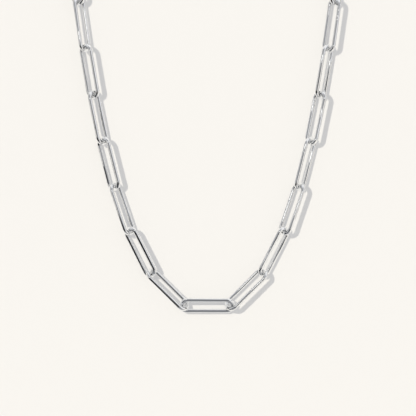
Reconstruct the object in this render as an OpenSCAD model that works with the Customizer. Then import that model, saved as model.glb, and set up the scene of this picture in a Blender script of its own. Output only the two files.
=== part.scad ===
// Paperclip chain necklace, hung as on a neck: a loop of long wire links closed by a clasp at the nape.
// Millimetres, +Z up, +X to the right of someone who faces the chain, -Y towards them.
// The origin is the middle of the clasp, where the chain rests on the nape.

/* [Link] */
// Length of a link, outside
link_l = 16; // [15:0.5:17]
// Width of a link, outside
link_w = 4.8; // [4.6:0.1:5.4]
// Diameter of the round wire
wire_d = 1.2; // [1:0.05:1.25]
// Clear gap between the wires of two straight neighbours
link_gap = 0.16; // [0.14:0.01:0.2]

/* [Chain] */
// Number of links, the bottom one and as many on each side
links = 33; // [31:2:35]
// Slope that each link adds to the one below it, the weight of a link over the pull along the chain
slope_step = 0.98; // [0.96:0.01:1.02]
// Turn of a link about its own length, out of the sheet that the chain hangs in
roll = 45; // [43:1:47]
// The same turn of the bottom link, which lies flatter
bottom_roll = 30; // [28:1:36]
// How far the bottom link hangs behind its two neighbours
bottom_set_back = 0.25; // [0.2:0.05:0.3]

/* [Way round the neck] */
// Links on each side of the bottom one that hang in one upright sheet
hanging_links = 7; // [6:1:8]
// Links over which the sheet leans back over the shoulder
shoulder_links = 5; // [5:1:6]
// Lean of the sheet behind the neck, 90 would be level
nape_lean = 80; // [70:5:80]
// Links on each side of the clasp that turn round the back of the neck
nape_links = 5; // [5:1:5]

/* [Clasp] */
// Diameter of the clasp's wire
clasp_wire_d = 1.4; // [1.2:0.1:1.5]
// Space between claw and eye, between the middles of their wires
clasp_neck = 2.7; // [2.6:0.05:2.75]
// Diameter of the eye, between the middles of its wire
eye_d = 3.6; // [3.4:0.1:3.6]
// Diameter of the bead that joins claw and eye
bead_d = 2.8; // [2.8:0.1:3]

/* [Hidden] */
$fn = 48;
side = (links - 1) / 2;
end_r = (link_w - wire_d) / 2;
rail_l = link_l - link_w;
reach = link_l - wire_d;
first_nape_link = side - nape_links + 1;
// Power by which the bend at a joint widens its seat.
bend_room = 3;
// Step that the clasp's length is rounded to, so that its rails end where its rings begin.
length_step = 0.01;

// Links are counted up each strand from the bottom link, 0, to the clasp, side + 1.
// Slope of a link within the sheet: a hanging chain adds the same step at each link, and a collar
// turns evenly behind the neck.
function slope(n) = n < first_nape_link ? atan(slope_step * n) : 90 + (n - first_nape_link) * 90 / nape_links;

// Backward lean of the sheet at a link, eased from upright to the nape's.
function ease(u) = u * u * (3 - 2 * u);
function lean(n) = nape_lean * ease(max(0, min(1, (n - hanging_links) / shoulder_links)));

// Along the link, out of the sheet, and across the link towards the inside of the loop.
function along(n) = [cos(slope(n)), sin(slope(n)) * sin(lean(n)), sin(slope(n)) * cos(lean(n))];
function outwards(n) = [0, -cos(lean(n)), sin(lean(n))];
function inwards(n) = cross(outwards(n), along(n));

// Neighbours roll opposite ways, so each link stands across the next.
function roll_of(n) = n == 0 ? bottom_roll : roll;
function inner_side(n) = n % 2 == 0 ? 1 : -1;
function across(n) = inner_side(n) * cos(roll_of(n)) * inwards(n) + sin(roll_of(n)) * outwards(n);

// How far a wire's middle passes the joint above link n. A bent joint needs more room.
function wire_of(n) = n > side ? clasp_wire_d : wire_d;
function bend(n) = acos(min(1, along(n) * along(n + 1)));
function seat(n) = ((wire_of(n) + wire_of(n + 1)) / 2 + link_gap) / 2 / pow(cos(bend(n) / 2), bend_room);

// Joint above link n and middle of link n on the right strand, from the middle of the bottom link.
function joint(n) = n == 0
    ? [reach / 2 - seat(0), 0, 0]
    : joint(n - 1) + (reach - seat(n - 1) - seat(n)) * along(n);
function middle(n) = n == 0
    ? [0, bottom_set_back, 0]
    : joint(n - 1) + (reach / 2 - seat(n - 1)) * along(n);

// The clasp fills what the links leave open.
nape = [0, joint(side).y, joint(side).z];
clasp_reach = length_step * round(2 * (joint(side).x + seat(side)) / length_step);

function link_name(i) = str("link_", i < 10 ? "0" : "", i);
function mirrored(v, sign) = [sign * v.x, v.y, v.z];

// Puts a piece whose length is along X and whose width is along Y in its place in the loop.
module placed(at, x_axis, y_axis) {
    z_axis = cross(x_axis, y_axis);
    multmatrix([for (k = [0:2]) [x_axis[k], y_axis[k], z_axis[k], at[k]]]) children();
}

// Half of a wire ring, on its +X side.
module half_ring(ring_r, ring_wire_d) {
    rotate([0, 0, -90]) rotate_extrude(angle = 180) translate([ring_r, 0]) circle(d = ring_wire_d);
}

// A loop of wire with two straight rails and two half-round ends, between x_low and x_high.
module wire_loop(x_low, x_high, loop_r, loop_wire_d) {
    for (s = [-1, 1])
        translate([x_low, s * loop_r, 0]) rotate([0, 90, 0]) cylinder(d = loop_wire_d, h = x_high - x_low);
    translate([x_high, 0, 0]) half_ring(loop_r, loop_wire_d);
    translate([x_low, 0, 0]) rotate([0, 0, 180]) half_ring(loop_r, loop_wire_d);
}

// Link i, counted round the loop from the clasp, down the left strand and up the right one.
module chain_link(i) {
    place_in_loop = i - side - 1;
    n = abs(place_in_loop);
    sign = place_in_loop < 0 ? -1 : 1;
    color("silver")
        placed(mirrored(middle(n) - nape, sign), mirrored(along(n), sign), mirrored(across(n), sign))
            wire_loop(-rail_l / 2, rail_l / 2, end_r, wire_d);
}

// Plain one-piece clasp: the claw holds one end link and the eye holds the other.
module clasp() {
    claw_end = clasp_reach / 2;
    eye_middle = (eye_d - clasp_reach) / 2;
    eye_end = eye_middle + eye_d / 2;
    claw_start = eye_end + clasp_neck;
    color("silver") placed([0, 0, 0], along(side + 1), across(side + 1)) {
        wire_loop(claw_start + end_r, claw_end - end_r, end_r, clasp_wire_d);
        translate([(claw_start + eye_end) / 2, 0, 0]) sphere(d = bead_d);
        translate([eye_middle, 0, 0]) rotate_extrude() translate([eye_d / 2, 0]) circle(d = clasp_wire_d);
    }
}

for (i = [1:links])
    chain_link(i);
clasp();
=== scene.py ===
import logging
import math
from dataclasses import dataclass, field
from enum import Enum
from typing import Any, ClassVar, Protocol

import bpy
import numpy as np
from mathutils import Matrix, Vector


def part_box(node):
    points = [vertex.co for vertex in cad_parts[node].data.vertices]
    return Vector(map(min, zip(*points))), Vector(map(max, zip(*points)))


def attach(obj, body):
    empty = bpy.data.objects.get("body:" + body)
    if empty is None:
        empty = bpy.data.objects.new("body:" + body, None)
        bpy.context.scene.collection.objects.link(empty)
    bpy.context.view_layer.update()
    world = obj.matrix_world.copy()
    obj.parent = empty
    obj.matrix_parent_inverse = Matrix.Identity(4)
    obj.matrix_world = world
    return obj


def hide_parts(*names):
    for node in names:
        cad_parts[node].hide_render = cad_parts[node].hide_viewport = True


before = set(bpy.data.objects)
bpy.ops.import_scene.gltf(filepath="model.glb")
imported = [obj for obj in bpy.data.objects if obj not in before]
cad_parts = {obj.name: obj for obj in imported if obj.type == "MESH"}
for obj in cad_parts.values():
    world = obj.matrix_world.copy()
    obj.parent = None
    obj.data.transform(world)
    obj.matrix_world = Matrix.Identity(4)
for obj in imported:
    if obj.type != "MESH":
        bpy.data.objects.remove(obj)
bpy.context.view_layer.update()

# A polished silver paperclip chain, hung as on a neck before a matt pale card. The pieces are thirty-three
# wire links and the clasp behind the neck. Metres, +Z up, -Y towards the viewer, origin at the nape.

MM = 0.001
# Places of the two colours and of the result among the sockets of a Mix node set to colour.
COLOUR_A, COLOUR_B, COLOUR_RESULT = 6, 7, 2
# The values that a noise texture seldom leaves.
NOISE_LOW, NOISE_HIGH = 0.3, 0.7
# Strength of the bump on the stage's matt surfaces.
MATT_BUMP = 0.3
log = logging.getLogger("necklace")


class Slot(Enum):
    """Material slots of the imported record."""

    LINK = "link_silver"
    CLASP = "clasp_silver"


def linear(srgb_hex: str) -> tuple[float, float, float, float]:
    """Turns an sRGB hex colour into Blender's linear colour.

    Args:
        srgb_hex: six hex digits, such as "F4F2EE".

    Returns:
        Linear red, green and blue, and an alpha of 1.
    """
    parts = [int(srgb_hex[i:i + 2], 16) / 255 for i in (0, 2, 4)]
    rgb = [c / 12.92 if c <= 0.04045 else ((c + 0.055) / 1.055) ** 2.4 for c in parts]
    return (rgb[0], rgb[1], rgb[2], 1.0)


def per_mm(size_mm: float) -> float:
    """Returns the texture scale whose features are about this many millimetres across."""
    return 1 / (size_mm * MM)


def add_node(tree: bpy.types.NodeTree, kind: str, inputs: dict[str | int, Any] | None = None,
             **settings: Any) -> bpy.types.Node:
    """Adds a node with its settings, values and links.

    Args:
        tree: the tree that gets the node.
        kind: Blender's name for the node's type.
        inputs: a value or a source socket for each input, by its name or place.
        **settings: properties of the node itself.

    Returns:
        The new node.
    """
    node = tree.nodes.new(kind)
    for name, value in settings.items():
        setattr(node, name, value)
    for key, value in (inputs or {}).items():
        if isinstance(value, bpy.types.NodeSocket):
            tree.links.new(value, node.inputs[key])
        else:
            node.inputs[key].default_value = value
    return node


def new_material(name: str) -> tuple[bpy.types.Material, bpy.types.NodeTree]:
    """Makes an empty node material.

    Args:
        name: the material's name.

    Returns:
        The material and its node tree.
    """
    material = bpy.data.materials.new(name)
    material.use_nodes = True
    material.node_tree.nodes.clear()
    return material, material.node_tree


class Finish(Protocol):
    """What each finish below can do."""

    def material(self) -> bpy.types.Material:
        """Builds the material."""


@dataclass(frozen=True)
class PolishedSilver:
    """Sterling silver, tumbled and buffed: a bright mirror with a faint haze and hairline scratches.

    The haze shows as a soft edge on each reflection, the unevenness of the buffing makes the reflected
    lines wander from link to link, and the places where links rub are darker, partly with tarnish and
    partly with painted shade where the neighbouring links overlap them.
    """

    name: str
    silver: str = "F7F8F9"
    # Darker colour for the insides of the link ends: partly tarnish, partly painted shade where the
    # neighbours overlap.
    tarnish_and_shade: str = "85878B"
    roughness_low: float = 0.035
    roughness_high: float = 0.085
    # Polishing haze, from the grit of the buffing compound, drawn coarser than the real 0.02 mm to show.
    haze_mm: float = 0.5
    # Spacing of the scratches that wear leaves, and how near the noise's middle value one is cut, which
    # draws them about 0.1 mm wide, and not the real 0.01 mm, to show.
    hairline_mm: float = 1.1
    hairline_width: float = 0.03
    hairline_depth_mm: float = 0.001
    # Unevenness of a hand-buffed wire: about a link long, and deep enough to tilt it by a few degrees.
    sway_mm: float = 16.0
    sway_depth_mm: float = 3.2
    # Where the unevenness is read from, so that the darker links hang low on the left.
    sway_from_mm: tuple[float, float, float] = (-200.0, -310.0, -230.0)
    # How far the tarnish and painted shade darken the insides of the link ends.
    darkening_share: float = 0.5

    def material(self) -> bpy.types.Material:
        """Builds the material.

        Returns:
            The material.
        """
        material, tree = new_material(self.name)
        place = add_node(tree, "ShaderNodeTexCoord").outputs["Object"]
        haze = add_node(tree, "ShaderNodeTexNoise",
                        {"Vector": place, "Scale": per_mm(self.haze_mm), "Detail": 3.0})
        roughness = add_node(tree, "ShaderNodeMapRange",
                             {"Value": haze.outputs[0], "From Min": NOISE_LOW, "From Max": NOISE_HIGH,
                              "To Min": self.roughness_low, "To Max": self.roughness_high})
        # Painted shade and tarnish: the insides of the link ends, where the neighbours overlap, are
        # darkened in the colour.
        rub = add_node(tree, "ShaderNodeAttribute", attribute_name="rub")
        shade = add_node(tree, "ShaderNodeMath", {0: rub.outputs["Fac"], 1: haze.outputs[0]},
                         operation="MULTIPLY")
        # The haze averages a half, so the share is doubled.
        share = add_node(tree, "ShaderNodeMath", {0: shade.outputs[0], 1: self.darkening_share * 2},
                         operation="MULTIPLY", use_clamp=True)
        colour = add_node(tree, "ShaderNodeMix",
                          {"Factor": share.outputs[0], COLOUR_A: linear(self.silver),
                           COLOUR_B: linear(self.tarnish_and_shade)}, data_type="RGBA")
        shader = add_node(tree, "ShaderNodeBsdfPrincipled",
                          {"Base Color": colour.outputs[COLOUR_RESULT], "Metallic": 1.0,
                           "Roughness": roughness.outputs[0], "Normal": self.uneven_normal(tree, place)})
        add_node(tree, "ShaderNodeOutputMaterial", {"Surface": shader.outputs[0]})
        return material

    def uneven_normal(self, tree: bpy.types.NodeTree, place: bpy.types.NodeSocket) -> bpy.types.NodeSocket:
        """Tilts the surface with the sway of the buffing and cuts hairline scratches in it.

        Args:
            tree: the material's tree.
            place: Object coordinates.

        Returns:
            The socket with the bumped normal.
        """
        read_at = add_node(tree, "ShaderNodeVectorMath",
                           {0: place, 1: [v * MM for v in self.sway_from_mm]}, operation="ADD")
        sway = add_node(tree, "ShaderNodeTexNoise",
                        {"Vector": read_at.outputs[0], "Scale": per_mm(self.sway_mm), "Detail": 0.0})
        swayed = add_node(tree, "ShaderNodeBump",
                          {"Height": sway.outputs[0], "Strength": 1.0,
                           "Distance": self.sway_depth_mm * MM})
        # A scratch runs where a noise crosses its middle value.
        wander = add_node(tree, "ShaderNodeTexNoise",
                          {"Vector": place, "Scale": per_mm(self.hairline_mm), "Detail": 1.0})
        centred = add_node(tree, "ShaderNodeMath", {0: wander.outputs[0], 1: 0.5}, operation="SUBTRACT")
        distance = add_node(tree, "ShaderNodeMath", {0: centred.outputs[0]}, operation="ABSOLUTE")
        groove = add_node(tree, "ShaderNodeMapRange",
                          {"Value": distance.outputs[0], "From Max": self.hairline_width})
        cut = add_node(tree, "ShaderNodeBump",
                       {"Height": groove.outputs[0], "Strength": 1.0, "Normal": swayed.outputs[0],
                        "Distance": self.hairline_depth_mm * MM})
        return cut.outputs[0]


@dataclass(frozen=True)
class BacklitCard:
    """Matt translucent card behind the chain, lit from behind: an even off-white with a faint tooth.

    The light from behind keeps the card bright right up to the wires, so that only the key light's
    shadow shows on it. It shows from the front only, and fades out above the height where the chain
    leans back over the shoulders and passes through its plane.
    """

    fade_from: float
    fade_to: float
    name: str = "backlit_card"
    colour: str = "8B8B8A"
    backlight: str = "A9A9AA"
    # The grain of the card's paper.
    tooth_mm: float = 0.35
    tooth_depth_mm: float = 0.01

    def material(self) -> bpy.types.Material:
        """Builds the material.

        Returns:
            The material.
        """
        material, tree = new_material(self.name)
        place = add_node(tree, "ShaderNodeTexCoord").outputs["Object"]
        tooth = add_node(tree, "ShaderNodeTexNoise",
                         {"Vector": place, "Scale": per_mm(self.tooth_mm), "Detail": 2.0})
        bump = add_node(tree, "ShaderNodeBump",
                        {"Height": tooth.outputs[0], "Strength": MATT_BUMP,
                         "Distance": self.tooth_depth_mm * MM})
        matt = add_node(tree, "ShaderNodeBsdfDiffuse",
                        {"Color": linear(self.colour), "Normal": bump.outputs[0]})
        glow = add_node(tree, "ShaderNodeEmission", {"Color": linear(self.backlight)})
        card = add_node(tree, "ShaderNodeAddShader", {0: matt.outputs[0], 1: glow.outputs[0]})
        clear = add_node(tree, "ShaderNodeBsdfTransparent")
        height = add_node(tree, "ShaderNodeSeparateXYZ", {0: place})
        fade = add_node(tree, "ShaderNodeMapRange",
                        {"Value": height.outputs[2], "From Min": self.fade_from, "From Max": self.fade_to})
        # The card is one-sided, so that the chain shows from behind it too.
        side = add_node(tree, "ShaderNodeNewGeometry")
        open_share = add_node(tree, "ShaderNodeMath",
                              {0: fade.outputs[0], 1: side.outputs["Backfacing"]}, operation="MAXIMUM")
        mix = add_node(tree, "ShaderNodeMixShader",
                       {0: open_share.outputs[0], 1: card.outputs[0], 2: clear.outputs[0]})
        add_node(tree, "ShaderNodeOutputMaterial", {"Surface": mix.outputs[0]})
        return material


@dataclass(frozen=True)
class PaleFloor:
    """Painted matt board for a floor: pale and even, with a faint roller texture."""

    name: str = "pale_floor"
    colour: str = "D9D8D7"
    # The stipple that a paint roller leaves.
    roller_mm: float = 2.0
    roller_depth_mm: float = 0.03

    def material(self) -> bpy.types.Material:
        """Builds the material.

        Returns:
            The material.
        """
        material, tree = new_material(self.name)
        place = add_node(tree, "ShaderNodeTexCoord").outputs["Object"]
        grain = add_node(tree, "ShaderNodeTexNoise",
                         {"Vector": place, "Scale": per_mm(self.roller_mm), "Detail": 2.0})
        bump = add_node(tree, "ShaderNodeBump",
                        {"Height": grain.outputs[0], "Strength": MATT_BUMP,
                         "Distance": self.roller_depth_mm * MM})
        paint = add_node(tree, "ShaderNodeBsdfDiffuse",
                         {"Color": linear(self.colour), "Normal": bump.outputs[0]})
        add_node(tree, "ShaderNodeOutputMaterial", {"Surface": paint.outputs[0]})
        return material


@dataclass(frozen=True)
class PaintedReflectionGlow:
    """Glowing sheets round the chain, seen only in the metal's reflections, which draw the dark and grey
    lines along the polished wires: a painted reflection of dark surroundings.

    Its shade is painted as an even glow, which the lights leave as it is. A sheet whose glow is painted
    lighter at its top stands for one that catches more light the higher it stands: painted light, which
    makes the lines darkest on the lower links.
    """

    name: str
    low_colour: str = "2A2B2D"
    high_colour: str = "2A2B2D"
    low: float = 0.0
    high: float = 0.1

    def material(self) -> bpy.types.Material:
        """Builds the material.

        Returns:
            The material.
        """
        material, tree = new_material(self.name)
        place = add_node(tree, "ShaderNodeTexCoord").outputs["Object"]
        height = add_node(tree, "ShaderNodeSeparateXYZ", {0: place})
        # Painted light: the glow turns lighter the higher the sheet stands.
        share = add_node(tree, "ShaderNodeMapRange",
                         {"Value": height.outputs[2], "From Min": self.low, "From Max": self.high})
        colour = add_node(tree, "ShaderNodeMix",
                          {"Factor": share.outputs[0], COLOUR_A: linear(self.low_colour),
                           COLOUR_B: linear(self.high_colour)}, data_type="RGBA")
        glow = add_node(tree, "ShaderNodeEmission", {"Color": colour.outputs[COLOUR_RESULT]})
        add_node(tree, "ShaderNodeOutputMaterial", {"Surface": glow.outputs[0]})
        return material


@dataclass(frozen=True)
class DiffuserCloth:
    """White cloth of a small softbox, which puts broken white lines on the wires of the right strand."""

    name: str = "diffuser_cloth"
    colour: str = "FFFDF8"
    brightness: float = 3.0

    def material(self) -> bpy.types.Material:
        """Builds the material.

        Returns:
            The material.
        """
        material, tree = new_material(self.name)
        glow = add_node(tree, "ShaderNodeEmission",
                        {"Color": linear(self.colour), "Strength": self.brightness})
        add_node(tree, "ShaderNodeOutputMaterial", {"Surface": glow.outputs[0]})
        return material


@dataclass(frozen=True)
class Placement:
    """Where a flat, symmetric piece lies: its middle, its directions and its outside sizes."""

    middle: Vector
    along: Vector
    across: Vector
    length: float
    width: float

    @classmethod
    def of_node(cls, name: str, towards: Vector) -> "Placement":
        """Finds the place of a CAD node from the spread of its own faces.

        Args:
            name: the CAD node.
            towards: a point that the piece's length points to.

        Returns:
            The node's placement.
        """
        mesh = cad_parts[name].data
        points = np.empty(len(mesh.vertices) * 3)
        mesh.vertices.foreach_get("co", points)
        points = points.reshape(-1, 3)
        areas = np.empty(len(mesh.polygons))
        centres = np.empty(len(mesh.polygons) * 3)
        mesh.polygons.foreach_get("area", areas)
        mesh.polygons.foreach_get("center", centres)
        centres = centres.reshape(-1, 3)
        spread = centres - np.average(centres, axis=0, weights=areas)
        _, axes = np.linalg.eigh((spread * areas[:, None]).T @ spread)
        reach = points @ axes
        low, high = reach.min(axis=0), reach.max(axis=0)
        middle = Vector(axes @ ((low + high) / 2))
        along, across = Vector(axes[:, 2]), Vector(axes[:, 1])
        if along.dot(towards - middle) < 0:
            along.negate()
        # The width points towards the viewer, so that every piece turns the same side to them.
        if across.y > 0:
            across.negate()
        return cls(middle, along, across, high[2] - low[2], high[1] - low[1])

    def matrix(self) -> Matrix:
        """Returns the matrix that takes a piece from its own axes to its place."""
        turn = Matrix((self.along, self.across, self.along.cross(self.across))).transposed()
        return Matrix.Translation(self.middle) @ turn.to_4x4()


class NodeForm:
    """A mesh form made by a Geometry Nodes tree with named inputs."""

    def __init__(self, name: str, inputs: dict[str, str]) -> None:
        """Starts the tree.

        Args:
            name: the tree's name.
            inputs: the socket type of each named input.
        """
        self.tree = bpy.data.node_groups.new(name, "GeometryNodeTree")
        for label, kind in inputs.items():
            self.tree.interface.new_socket(name=label, in_out="INPUT", socket_type=kind)
        self.tree.interface.new_socket(name="Geometry", in_out="OUTPUT", socket_type="NodeSocketGeometry")
        self.sources = self.add("NodeGroupInput").outputs

    def add(self, kind: str, inputs: dict[str | int, Any] | None = None, **settings: Any) -> bpy.types.Node:
        """Adds a node to the tree, as add_node does."""
        return add_node(self.tree, kind, inputs, **settings)

    def close(self, geometry: bpy.types.NodeSocket) -> None:
        """Ends the tree in real geometry with its finish.

        Args:
            geometry: what the tree has made.
        """
        real = self.add("GeometryNodeRealizeInstances", {0: geometry})
        dressed = self.add("GeometryNodeSetMaterial",
                           {"Geometry": real.outputs[0], "Material": self.sources["Finish"]})
        self.add("NodeGroupOutput", {0: dressed.outputs[0]})

    def piece(self, name: str, values: dict[str, Any], place: Placement) -> bpy.types.Object:
        """Makes a plain mesh object of the form, with its place in its mesh.

        Args:
            name: the piece's name.
            values: a value for each named input.
            place: where the piece lies.

        Returns:
            The finished piece.
        """
        piece = bpy.data.objects.new(name, bpy.data.meshes.new(name))
        bpy.context.scene.collection.objects.link(piece)
        modifier = piece.modifiers.new("form", "NODES")
        modifier.node_group = self.tree
        for item in self.tree.interface.items_tree:
            if item.in_out == "INPUT":
                modifier[item.identifier] = values[item.name]
        ready = piece.evaluated_get(bpy.context.evaluated_depsgraph_get())
        mesh = bpy.data.meshes.new_from_object(ready)
        piece.modifiers.remove(modifier)
        mesh.name = name
        mesh.transform(place.matrix())
        piece.data = mesh
        return piece


def take_over(piece: bpy.types.Object, node: str) -> None:
    """Puts a finished piece in the place of a CAD node and reports it.

    Args:
        piece: the finished piece.
        node: the CAD node that it stands for.
    """
    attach(piece, "root")
    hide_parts(node)
    log.info("%s replaces %s: %d faces", piece.name, node, len(piece.data.polygons))


@dataclass
class WireLoop:
    """The form of one paperclip link: round wire bent to two straight rails and two half-round ends."""

    INPUTS: ClassVar[dict[str, str]] = {
        "Loop Length": "NodeSocketFloat", "Rail Spacing": "NodeSocketFloat",
        "Corner Radius": "NodeSocketFloat", "Wire Radius": "NodeSocketFloat",
        "Rub Start": "NodeSocketFloat", "Rub End": "NodeSocketFloat",
        "Outward Ripple": "NodeSocketFloat", "Seam Depth": "NodeSocketFloat",
        "Seed": "NodeSocketInt", "Finish": "NodeSocketMaterial"}

    loop_steps: int = 168
    wire_sides: int = 24
    corner_steps: int = 24
    # A hair under half the spacing, so that the arcs of an end don't meet in a doubled point.
    corner_share: float = 0.4999
    # Share of the way round the loop where the seam may lie, and its half width.
    seam_from: float = 0.05
    seam_to: float = 0.28
    seam_width: float = 0.012
    # Length of the ripple that tumbling and bending leave.
    ripple_mm: float = 3.0
    # How far the surface has to face inwards for the neighbour to rub it, from none to fully.
    rub_from: float = 0.2
    rub_to: float = -0.8

    def values(self, length: float, width: float, wire_diameter: float) -> dict[str, float]:
        """Works out the form's sizes from those of the finished loop.

        Args:
            length: the loop's length, outside.
            width: its width, outside.
            wire_diameter: the wire's diameter.

        Returns:
            A value for each of the form's inputs that is a size of the loop.
        """
        spacing = width - wire_diameter
        return {"Loop Length": length - wire_diameter, "Rail Spacing": spacing,
                "Corner Radius": spacing * self.corner_share, "Wire Radius": wire_diameter / 2,
                "Rub Start": length / 2 - width, "Rub End": length / 2}

    def form(self) -> NodeForm:
        """Builds the tree of the loop.

        Returns:
            The form, with its length along X and its width along Y.
        """
        form = NodeForm("wire_loop", self.INPUTS)
        size = form.sources
        frame_shape = form.add("GeometryNodeCurvePrimitiveQuadrilateral",
                               {"Width": size["Loop Length"], "Height": size["Rail Spacing"]})
        rounded = form.add("GeometryNodeFilletCurve",
                           {"Curve": frame_shape.outputs[0], "Count": self.corner_steps,
                            "Radius": size["Corner Radius"], "Limit Radius": True}, mode="POLY")
        even = form.add("GeometryNodeResampleCurve",
                        {"Curve": rounded.outputs[0], "Count": self.loop_steps}, mode="COUNT")
        profile = form.add("GeometryNodeCurvePrimitiveCircle",
                           {"Resolution": self.wire_sides, "Radius": size["Wire Radius"]}, mode="RADIUS")
        bent = form.add("GeometryNodeCurveToMesh",
                        {"Curve": even.outputs[0], "Profile Curve": profile.outputs[0],
                         "Scale": self.soldered_seam(form)})
        rubbed = self.rubbed(form, self.rippled(form, bent.outputs[0]))
        smooth = form.add("GeometryNodeSetShadeSmooth", {"Geometry": rubbed})
        form.close(smooth.outputs[0])
        return form

    def soldered_seam(self, form: NodeForm) -> bpy.types.NodeSocket:
        """Narrows the wire a little where its two ends are soldered and polished flush.

        Args:
            form: the loop's form.

        Returns:
            The scale of the wire along the loop, which dips in a bell curve at the seam.
        """
        seam_at = form.add("FunctionNodeRandomValue",
                           {2: self.seam_from, 3: self.seam_to, "Seed": form.sources["Seed"]},
                           data_type="FLOAT")
        way_round = form.add("GeometryNodeSplineParameter").outputs["Factor"]
        distance = form.add("ShaderNodeMath", {0: way_round, 1: seam_at.outputs[1]}, operation="SUBTRACT")
        ratio = form.add("ShaderNodeMath", {0: distance.outputs[0], 1: self.seam_width},
                         operation="DIVIDE")
        square = form.add("ShaderNodeMath", {0: ratio.outputs[0], 1: ratio.outputs[0]},
                          operation="MULTIPLY")
        fall = form.add("ShaderNodeMath", {0: square.outputs[0], 1: -1.0}, operation="MULTIPLY")
        bell = form.add("ShaderNodeMath", {0: fall.outputs[0]}, operation="EXPONENT")
        dip = form.add("ShaderNodeMath", {0: bell.outputs[0], 1: form.sources["Seam Depth"]},
                       operation="MULTIPLY")
        return form.add("ShaderNodeMath", {0: 1.0, 1: dip.outputs[0]}, operation="SUBTRACT").outputs[0]

    def rippled(self, form: NodeForm, geometry: bpy.types.NodeSocket) -> bpy.types.NodeSocket:
        """Moves the surface by an uneven ripple, as tumbling and bending leave it.

        Args:
            form: the loop's form.
            geometry: the bent wire.

        Returns:
            The rippled wire.
        """
        place = form.add("GeometryNodeInputPosition").outputs[0]
        noise = form.add("ShaderNodeTexNoise",
                         {"Vector": place, "W": form.sources["Seed"], "Scale": per_mm(self.ripple_mm),
                          "Detail": 1.0}, noise_dimensions="4D")
        height = form.add("ShaderNodeMath", {0: noise.outputs[0], 1: form.sources["Outward Ripple"]},
                          operation="MULTIPLY")
        offset = form.add("ShaderNodeVectorMath",
                          {0: form.add("GeometryNodeInputNormal").outputs[0],
                           "Scale": height.outputs[0]}, operation="SCALE")
        return form.add("GeometryNodeSetPosition",
                        {"Geometry": geometry, "Offset": offset.outputs[0]}).outputs[0]

    def rubbed(self, form: NodeForm, geometry: bpy.types.NodeSocket) -> bpy.types.NodeSocket:
        """Marks the inside of both ends, where the neighbours rub.

        Args:
            form: the loop's form.
            geometry: the rippled wire.

        Returns:
            The wire with the attribute "rub", 1 where the neighbours rub and 0 elsewhere.
        """
        size = form.sources
        place = form.add("ShaderNodeSeparateXYZ", {0: form.add("GeometryNodeInputPosition").outputs[0]})
        normal = form.add("ShaderNodeSeparateXYZ", {0: form.add("GeometryNodeInputNormal").outputs[0]})
        out = form.add("ShaderNodeMath", {0: place.outputs[0]}, operation="ABSOLUTE")
        near_end = form.add("ShaderNodeMapRange",
                            {"Value": out.outputs[0], "From Min": size["Rub Start"],
                             "From Max": size["Rub End"]})
        end_side = form.add("ShaderNodeMath", {0: place.outputs[0]}, operation="SIGN")
        facing = form.add("ShaderNodeMath", {0: normal.outputs[0], 1: end_side.outputs[0]},
                          operation="MULTIPLY")
        inside = form.add("ShaderNodeMapRange",
                          {"Value": facing.outputs[0], "From Min": self.rub_from,
                           "From Max": self.rub_to})
        # The material darkens this mark in the colour, with tarnish and painted shade.
        rub = form.add("ShaderNodeMath", {0: near_end.outputs[0], 1: inside.outputs[0]},
                       operation="MULTIPLY")
        return form.add("GeometryNodeStoreNamedAttribute",
                        {"Geometry": geometry, "Name": "rub", "Value": rub.outputs[0]},
                        data_type="FLOAT", domain="POINT").outputs[0]


@dataclass
class LinkChain:
    """The chain: thirty-three wire links, from the left of the clasp round to its right."""

    links: int = 33
    wire_diameter: float = 1.2 * MM
    # Negative, because a ripple is pressed into the wire.
    ripple: float = -0.012 * MM
    seam_depth: float = 0.02
    finish: PolishedSilver = field(default_factory=lambda: PolishedSilver("polished_silver_wire"))

    def build(self, loop: WireLoop, form: NodeForm) -> None:
        """Makes each link in the place of its CAD node.

        Args:
            loop: the wire loop.
            form: its form.
        """
        silver = self.finish.material()
        for i in range(1, self.links + 1):
            node = f"link_{i:02d}"
            place = Placement.of_node(node, Vector((0, 0, 1)))
            values = loop.values(place.length, place.width, self.wire_diameter)
            piece = form.piece(f"wire_{node}", values | {
                "Outward Ripple": self.ripple, "Seam Depth": self.seam_depth,
                "Seed": i, "Finish": silver}, place)
            take_over(piece, node)


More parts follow.
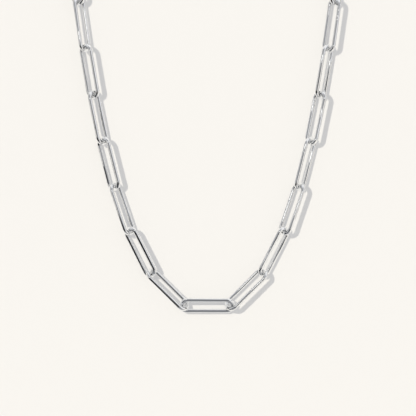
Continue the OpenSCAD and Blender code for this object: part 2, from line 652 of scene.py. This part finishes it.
@dataclass
class Clasp:
    """The plain clasp at the nape: a claw ring, a bead and an eye, soldered to one piece."""

    wire_diameter: float = 1.4 * MM
    claw_width: float = 5.0 * MM
    # Space between claw and eye, between the middles of their wires.
    neck: float = 2.7 * MM
    # Diameter between the middles of the wire.
    eye_diameter: float = 3.6 * MM
    bead_diameter: float = 2.8 * MM
    eye_steps: int = 96
    wire_sides: int = 28
    bead_segments: int = 48
    bead_rings: int = 24
    crease_degrees: float = 30.0
    finish: PolishedSilver = field(default_factory=lambda: PolishedSilver(
        "cast_polished_silver", silver="F1EFEB", roughness_low=0.08, roughness_high=0.16))

    def build(self, loop: WireLoop, loop_form: NodeForm) -> None:
        """Makes the clasp in the place of its CAD node.

        Args:
            loop: the wire loop, for the claw.
            loop_form: its form.
        """
        first_link = Placement.of_node("link_01", Vector((0, 0, 1)))
        place = Placement.of_node("clasp", first_link.middle)
        wire_radius = self.wire_diameter / 2
        claw_end = place.length / 2
        eye_at = wire_radius + self.eye_diameter / 2 - claw_end
        eye_end = eye_at + self.eye_diameter / 2
        claw_start = eye_end + self.neck
        claw_low = claw_start - wire_radius
        values = loop.values(claw_end - claw_low, self.claw_width, self.wire_diameter)
        piece = self.form(loop_form).piece("silver_clasp", values | {
            "Claw Place": ((claw_low + claw_end) / 2, 0.0, 0.0), "Eye Place": (eye_at, 0.0, 0.0),
            "Bead Place": ((eye_end + claw_start) / 2, 0.0, 0.0), "Outward Ripple": 0.0,
            "Seam Depth": 0.0, "Seed": 0, "Finish": self.finish.material()}, place)
        take_over(piece, "clasp")

    def form(self, loop_form: NodeForm) -> NodeForm:
        """Builds the tree of the clasp, with the claw towards +X and the eye towards -X.

        Args:
            loop_form: the wire loop's form, for the claw.

        Returns:
            The clasp's form.
        """
        form = NodeForm("clasp", WireLoop.INPUTS | {
            "Claw Place": "NodeSocketVector", "Bead Place": "NodeSocketVector",
            "Eye Place": "NodeSocketVector"})
        size = form.sources
        claw = form.add("GeometryNodeGroup", {name: size[name] for name in WireLoop.INPUTS},
                        node_tree=loop_form.tree)
        bead = form.add("GeometryNodeMeshUVSphere",
                        {"Segments": self.bead_segments, "Rings": self.bead_rings,
                         "Radius": self.bead_diameter / 2})
        ring = form.add("GeometryNodeCurvePrimitiveCircle",
                        {"Resolution": self.eye_steps, "Radius": self.eye_diameter / 2}, mode="RADIUS")
        profile = form.add("GeometryNodeCurvePrimitiveCircle",
                           {"Resolution": self.wire_sides, "Radius": size["Wire Radius"]}, mode="RADIUS")
        eye = form.add("GeometryNodeCurveToMesh",
                       {"Curve": ring.outputs[0], "Profile Curve": profile.outputs[0]})
        union = form.add("GeometryNodeMeshBoolean", operation="UNION", solver="EXACT")
        for part, place in ((claw, "Claw Place"), (bead, "Bead Place"), (eye, "Eye Place")):
            moved = form.add("GeometryNodeTransform",
                             {"Geometry": part.outputs[0], "Translation": size[place]})
            form.tree.links.new(moved.outputs[0], union.inputs["Mesh 2"])
        smooth = form.add("GeometryNodeSetShadeSmooth", {"Geometry": union.outputs[0]})
        crease = form.add("ShaderNodeMath",
                          {0: form.add("GeometryNodeInputMeshEdgeAngle").outputs[0],
                           1: math.radians(self.crease_degrees)}, operation="GREATER_THAN")
        soldered = form.add("GeometryNodeSetShadeSmooth",
                            {"Geometry": smooth.outputs[0], "Selection": crease.outputs[0],
                             "Shade Smooth": False}, domain="EDGE")
        form.close(soldered.outputs[0])
        return form


@dataclass(frozen=True)
class Strip:
    """An upright strip that stands round the chain and faces it, with heights from the bottom link."""

    azimuth: float
    half_width: float
    low: float = -0.059
    high: float = 0.388
    distance: float = 0.3

    def corners(self, front: Vector) -> list[Vector]:
        """Works out where the strip stands.

        Args:
            front: the middle of the bottom link.

        Returns:
            The strip's four corners.
        """
        angle = math.radians(self.azimuth)
        middle = front + Vector((math.sin(angle), -math.cos(angle), 0)) * self.distance
        side = Vector((math.cos(angle), math.sin(angle), 0)) * self.half_width
        return [middle + side * way + Vector((0, 0, height)) for way, height in
                ((-1, self.low), (1, self.low), (1, self.high), (-1, self.high))]


@dataclass(frozen=True)
class Mat:
    """A mat that lies in front of the chain, with its edges measured from below the bottom link."""

    left: float
    right: float
    near: float
    far: float

    def corners(self, below: Vector) -> list[Vector]:
        """Returns the mat's four corners, from a point below the bottom link."""
        return [below + Vector((side, -reach, 0)) for side, reach in
                ((self.left, self.far), (self.right, self.far),
                 (self.right, self.near), (self.left, self.near))]


@dataclass
class Studio:
    """The card behind the chain, the floor, the lights, what the metal reflects, and the camera."""

    front: Vector
    card_gap: float = 1.98 * MM
    card_size: float = 0.9
    card_top: float = 88 * MM
    card_fade: float = 10 * MM
    floor_drop: float = 60 * MM
    floor_size: float = 3.0
    room: str = "E9E9EA"
    # How much brighter the room is to the right, behind and above.
    room_tilt: tuple[float, float, float] = (0.2, 0.15, 0.1)
    key_colour: str = "FFF7E8"
    key_direction: tuple[float, float, float] = (-0.64, -1.0, 0.3)
    key_spread: float = 0.035
    key_strength: float = 5.15
    # The painted reflection in front turns from painted shade to painted light between these two heights
    # from the bottom link.
    front_strip: Strip = Strip(azimuth=-12, half_width=0.2)
    front_shade: tuple[float, float] = (-0.059, 0.06)
    painted_lit_reflection: str = "96979A"
    dark_strips: tuple[Strip, ...] = (Strip(90, 0.09), Strip(135, 0.12), Strip(180, 0.12),
                                      Strip(225, 0.12), Strip(270, 0.09))
    dark_mats: tuple[Mat, ...] = (Mat(left=-0.40, right=-0.045, near=0.01, far=0.50),
                                  Mat(left=-0.045, right=0.115, near=0.14, far=0.50))
    grey_mat: Mat = Mat(left=-0.045, right=0.06, near=0.003, far=0.14)
    # The grey mat's glow: a painted shade, lighter than the dark sheets.
    painted_grey_reflection: str = "9C9DA0"
    mat_lift: float = 1 * MM
    softbox: Strip = Strip(azimuth=-18, half_width=0.035, low=0.082, high=0.12, distance=0.28)
    camera_azimuth: float = -4.0
    camera_distance: float = 1.5
    camera_clip: tuple[float, float] = (0.01, 20.0)
    frame_width: float = 118.55 * MM
    target_right: float = 0.28 * MM
    target_up: float = 27.8 * MM
    sensor: float = 36.0

    def build(self) -> None:
        """Sets the camera, the lights and the stage."""
        self.camera()
        self.even_light()
        self.key_light()
        self.stage()

    def camera(self) -> None:
        """Places the camera at the photograph's angle, level and a little to the left."""
        data = bpy.data.cameras.new("camera")
        data.sensor_width = self.sensor
        data.lens = self.sensor * self.camera_distance / self.frame_width
        data.clip_start, data.clip_end = self.camera_clip
        camera = bpy.data.objects.new("camera", data)
        angle = math.radians(self.camera_azimuth)
        target = self.front + Vector((self.target_right, 0, self.target_up))
        back = Vector((math.sin(angle), -math.cos(angle), 0))
        camera.location = target + back * self.camera_distance
        camera.rotation_euler = (-back).to_track_quat("-Z", "Y").to_euler()
        bpy.context.scene.collection.objects.link(camera)
        bpy.context.scene.camera = camera
        bpy.context.scene.view_settings.view_transform = "Standard"

    def even_light(self) -> None:
        """Lights the scene from all round, a little more from one side."""
        world = bpy.data.worlds.new("even_light")
        world.use_nodes = True
        tree = world.node_tree
        direction = add_node(tree, "ShaderNodeTexCoord").outputs["Generated"]
        level = add_node(tree, "ShaderNodeVectorMath", {0: direction, 1: self.room_tilt},
                         operation="DOT_PRODUCT")
        strength = add_node(tree, "ShaderNodeMath", {0: level.outputs["Value"], 1: 1.0}, operation="ADD")
        background = tree.nodes["Background"]
        background.inputs["Color"].default_value = linear(self.room)
        tree.links.new(strength.outputs[0], background.inputs["Strength"])
        bpy.context.scene.world = world

    def key_light(self) -> None:
        """Adds the key light from the upper left, which casts the chain's shadow on the card."""
        data = bpy.data.lights.new("key", "SUN")
        data.angle, data.energy = self.key_spread, self.key_strength
        data.color = linear(self.key_colour)[:3]
        key = bpy.data.objects.new("key", data)
        key.rotation_euler = (-Vector(self.key_direction)).to_track_quat("-Z", "Y").to_euler()
        # The metal's white lines come from the softbox, which is wider.
        key.visible_glossy = False
        bpy.context.scene.collection.objects.link(key)

    def stage(self) -> None:
        """Stands the card behind the chain on a pale floor, and the sheets of painted reflection and the
        softbox round it.
        """
        floor_z = self.front.z - self.floor_drop
        card_y = self.front.y + self.card_gap
        top = self.front.z + self.card_top
        end = top + self.card_fade
        half, wide = self.card_size / 2, self.floor_size / 2
        card_corners = [Vector((x, card_y, z)) for x, z in
                        ((-half, floor_z), (half, floor_z), (half, end), (-half, end))]
        card = self.sheet("card", card_corners, BacklitCard(fade_from=top, fade_to=end))
        floor_corners = [Vector((x, y, floor_z)) for x, y in
                         ((-wide, -wide), (wide, -wide), (wide, wide), (-wide, wide))]
        floor = self.sheet("floor", floor_corners, PaleFloor())
        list(self.reflected_cards())

    def reflected_cards(self) -> list[bpy.types.Object]:
        """Sets sheets of painted reflection and a softbox round the chain, which only the metal's
        reflections see.

        Returns:
            The dark sheets, the strip in front, the grey mat and the softbox.
        """
        below = self.front + Vector((0, 0, self.mat_lift - self.floor_drop))
        dark = [strip.corners(self.front) for strip in self.dark_strips]
        dark += [mat.corners(below) for mat in self.dark_mats]
        shade_low, shade_high = (self.front.z + height for height in self.front_shade)
        # Painted reflections: each sheet's glow is painted shade, or painted light on the lit strip, and
        # only the metal sees it.
        cards = [
            self.sheet("painted_dark_reflection", sum(dark, []), PaintedReflectionGlow("painted_dark_reflection")),
            self.sheet("painted_front_reflection", self.front_strip.corners(self.front),
                       PaintedReflectionGlow("painted_lit_reflection", high_colour=self.painted_lit_reflection, low=shade_low, high=shade_high)),
            self.sheet("painted_grey_reflection", self.grey_mat.corners(below),
                       PaintedReflectionGlow("painted_grey_reflection", self.painted_grey_reflection, self.painted_grey_reflection)),
            self.sheet("softbox", self.softbox.corners(self.front), DiffuserCloth())]
        for card in cards:
            card.visible_camera = False
            card.visible_diffuse = False
            card.visible_shadow = False
            card.visible_transmission = False
        return cards

    @staticmethod
    def sheet(name: str, corners: list[Vector], finish: Finish) -> bpy.types.Object:
        """Makes one object of flat four-cornered sheets.

        Args:
            name: the object's name.
            corners: the four corners of each sheet, in turn.
            finish: its finish.

        Returns:
            The object.
        """
        mesh = bpy.data.meshes.new(name)
        mesh.from_pydata(corners, [], [tuple(range(k, k + 4)) for k in range(0, len(corners), 4)])
        mesh.materials.append(finish.material())
        sheet = bpy.data.objects.new(name, mesh)
        bpy.context.scene.collection.objects.link(sheet)
        return sheet


def main() -> None:
    """Builds the necklace and its studio."""
    logging.basicConfig(level=logging.INFO, format="%(message)s")
    low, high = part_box("link_17")
    Studio(front=(low + high) / 2).build()
    loop = WireLoop()
    loop_form = loop.form()
    LinkChain().build(loop, loop_form)
    Clasp().build(loop, loop_form)


if __name__ == "__main__":
    main()
